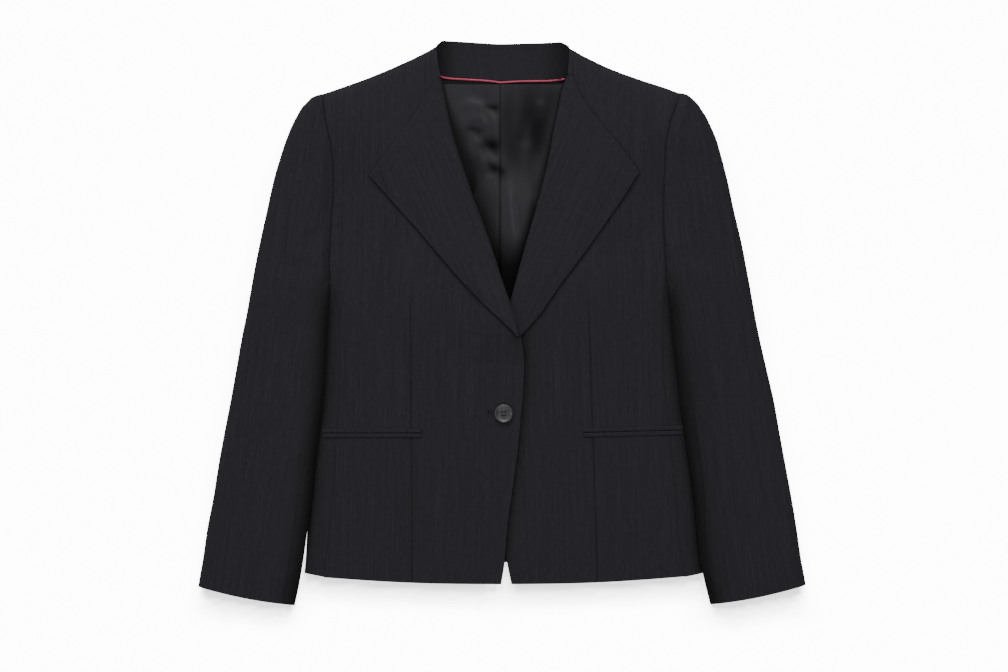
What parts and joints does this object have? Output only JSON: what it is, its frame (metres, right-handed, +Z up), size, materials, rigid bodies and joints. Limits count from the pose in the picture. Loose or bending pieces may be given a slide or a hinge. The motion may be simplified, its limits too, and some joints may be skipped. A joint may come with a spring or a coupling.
{
  "type": "suit jacket laid flat",
  "caption": "Short single-button tailored jacket laid flat on its back, with wide pointed lapels rolling from a high neck, jetted pockets and long sleeves.",
  "frame": {"origin": "centre of the laid jacket's bounding box, on the surface that it lies on", "axes": "+X towards the wearer's left sleeve, +Y from the hem to the neck, +Z up from the surface, away from the back panel"},
  "size_m": [0.712, 0.6555, 0.0225],
  "materials": {
    "wool": "near-black charcoal wool suiting with fine lengthwise streaks, matt",
    "lining": "black satin lining, glossy",
    "piping": "crimson corded piping, satin",
    "button": "dark grey four-hole button, half matt"
  },
  "bodies": {
    "root": {"back": "wool", "front_right": "wool", "front_left": "wool", "side_panel_right": "wool", "side_panel_left": "wool", "lapel_right": "wool", "lapel_left": "wool", "neck_facing": "wool", "neck_piping": "piping", "lining_right": "lining", "lining_left": "lining", "pocket_right_upper_welt": "wool", "pocket_right_lower_welt": "wool", "pocket_left_upper_welt": "wool", "pocket_left_lower_welt": "wool", "top_sleeve_right": "wool", "top_sleeve_left": "wool", "under_sleeve_right": "wool", "under_sleeve_left": "wool", "button": "button"}
  },
  "joints": []
}
